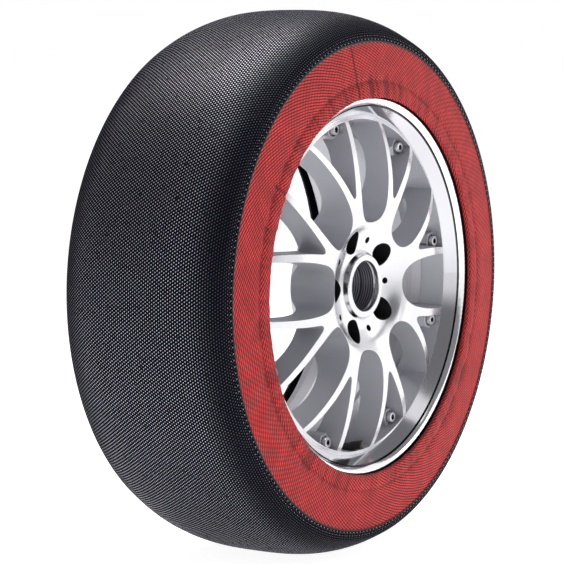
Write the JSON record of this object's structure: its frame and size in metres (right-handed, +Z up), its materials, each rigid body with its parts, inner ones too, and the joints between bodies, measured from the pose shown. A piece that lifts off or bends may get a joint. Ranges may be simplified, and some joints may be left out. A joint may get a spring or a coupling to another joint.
{
  "type": "snow sock fitted on a car wheel",
  "caption": "Textile snow sock with a dotted tread band and a red elastic side panel, pulled over a tyre on a forked-spoke alloy wheel.",
  "frame": {"origin": "centre of the wheel, on the axle axis and midway between the rim flanges", "axes": "+Y along the axle towards the vehicle, outer face towards -Y, +Z up, +X to the right seen from outside"},
  "size_m": [0.6355, 0.2298, 0.6356],
  "materials": {
    "black_fabric": "woven with light dots",
    "red_fabric": "twill",
    "seam_thread": "stitched seam",
    "elastic": "covered elastic cord",
    "tyre_rubber": "matte",
    "liner_rubber": "matte",
    "steel_cord": "brass coated steel cord",
    "polished_alloy": "polished",
    "cast_alloy": "machined faces, painted pockets",
    "bolt_steel": "bright zinc",
    "valve_rubber": "matte",
    "valve_brass": "turned",
    "spring_steel": "drawn wire",
    "cap_plastic": "ribbed"
  },
  "bodies": {
    "wheel": {"tyre_tread": "tyre_rubber", "tyre_casing": "tyre_rubber", "steel_belts": "steel_cord", "inner_liner": "liner_rubber", "bead_wire_outer": "steel_cord", "bead_wire_inner": "steel_cord", "bead_filler_outer": "liner_rubber", "bead_filler_inner": "liner_rubber", "rim_barrel": "polished_alloy", "wheel_centre": "cast_alloy", "rim_bolts": "bolt_steel", "rim_bolt_washers": "bolt_steel", "valve_stem": "valve_rubber", "valve_tube": "valve_brass", "valve_core_body": "valve_brass", "valve_core_spring": "spring_steel"},
    "sock": {"tread_fabric": "black_fabric", "outer_side_panel": "red_fabric", "closing_seam": "red_fabric", "outer_seam": "seam_thread", "outer_elastic": "elastic", "inner_side_panel": "black_fabric", "inner_seam": "seam_thread", "inner_elastic": "elastic"},
    "cap_seal": {"valve_cap_seal": "valve_rubber"},
    "cap": {"valve_cap": "cap_plastic"},
    "core_pin": {"valve_core_pin": "valve_brass"}
  },
  "joints": [
    {"name": "sock_creep", "type": "hinge", "parent": "wheel", "child": "sock", "pos_m": [0, 0, 0], "axis": [0, 1, 0], "continuous": true},
    {"name": "cap_lift", "type": "slide", "parent": "wheel", "child": "cap_seal", "axis": [0.0073, -0.9781, 0.2078], "range_m": [0, 0.00556]},
    {"name": "cap_turn", "type": "hinge", "parent": "cap_seal", "child": "cap", "pos_m": [-0.00672, -0.062, -0.19238], "axis": [0.0073, -0.9781, 0.2078], "range_deg": [0, 2520]},
    {"name": "core_press", "type": "slide", "parent": "wheel", "child": "core_pin", "axis": [-0.0073, 0.9781, -0.2078], "range_m": [0, 0.0012], "stiffness_N_per_m": 400, "springref_m": -0.002, "deforming": ["valve_core_spring"]}
  ],
  "couplings": [
    {"joint": "cap_turn", "follows": "cap_lift", "rad_per_m": 7913.3}
  ]
}
